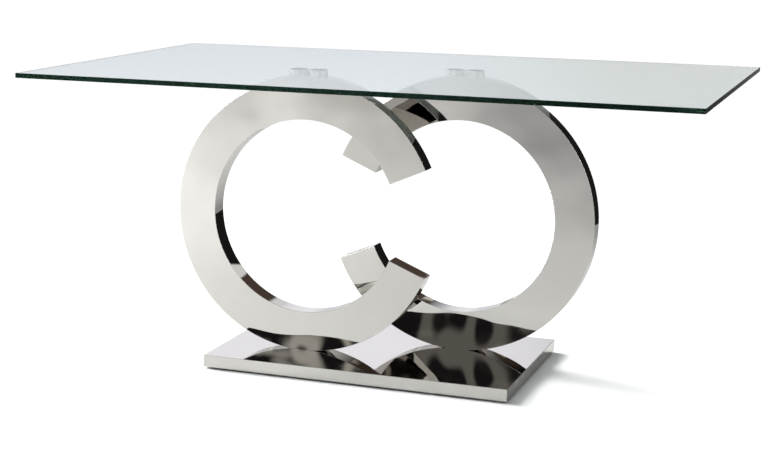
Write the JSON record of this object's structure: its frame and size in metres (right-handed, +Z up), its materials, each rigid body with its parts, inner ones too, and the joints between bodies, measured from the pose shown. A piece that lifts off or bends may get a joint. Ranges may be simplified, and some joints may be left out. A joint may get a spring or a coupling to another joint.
{
  "type": "pedestal table",
  "caption": "Rectangular clear glass table top on polished open steel rings, which stand one behind the other on a flat polished base plate.",
  "frame": {"origin": "on the floor, under the middle of the glass top", "axes": "+X along the table's length to the right, +Y from the front to the back, +Z up"},
  "size_m": [1.646, 1, 0.76],
  "materials": {
    "clear_glass": "clear float glass, edges ground and polished",
    "polished_steel": "mirror-polished stainless sheet",
    "clear_bond": "clear cured adhesive film",
    "mild_steel": "oiled mild steel, welded",
    "core_board": "raw fibreboard",
    "painted_sheet": "black powder coat",
    "zinc_fastener": "bright zinc plate",
    "nylon_glide": "black nylon"
  },
  "bodies": {
    "root": {"glass_top": "clear_glass", "front_ring_face_plate": "polished_steel", "front_ring_back_plate": "polished_steel", "front_ring_outer_rim": "polished_steel", "front_ring_inner_rim": "polished_steel", "front_ring_upper_end_cap": "polished_steel", "front_ring_lower_end_cap": "polished_steel", "front_ring_head_block": "mild_steel", "front_ring_foot_block": "mild_steel", "front_ring_ribs": "mild_steel", "front_ring_left_disc": "polished_steel", "front_ring_left_bond_film": "clear_bond", "front_ring_right_disc": "polished_steel", "front_ring_right_bond_film": "clear_bond", "front_ring_disc_studs": "zinc_fastener", "rear_ring_face_plate": "polished_steel", "rear_ring_back_plate": "polished_steel", "rear_ring_outer_rim": "polished_steel", "rear_ring_inner_rim": "polished_steel", "rear_ring_upper_end_cap": "polished_steel", "rear_ring_lower_end_cap": "polished_steel", "rear_ring_head_block": "mild_steel", "rear_ring_foot_block": "mild_steel", "rear_ring_ribs": "mild_steel", "rear_ring_left_disc": "polished_steel", "rear_ring_left_bond_film": "clear_bond", "rear_ring_right_disc": "polished_steel", "rear_ring_right_bond_film": "clear_bond", "rear_ring_disc_studs": "zinc_fastener", "base_cover_tray": "polished_steel", "base_ballast_plate": "mild_steel", "base_core_board": "core_board", "base_bottom_cover": "painted_sheet", "base_bolts": "zinc_fastener", "base_bolt_washers": "zinc_fastener", "base_glides": "nylon_glide", "base_glide_screws": "zinc_fastener", "base_cover_screws": "zinc_fastener"}
  },
  "joints": []
}
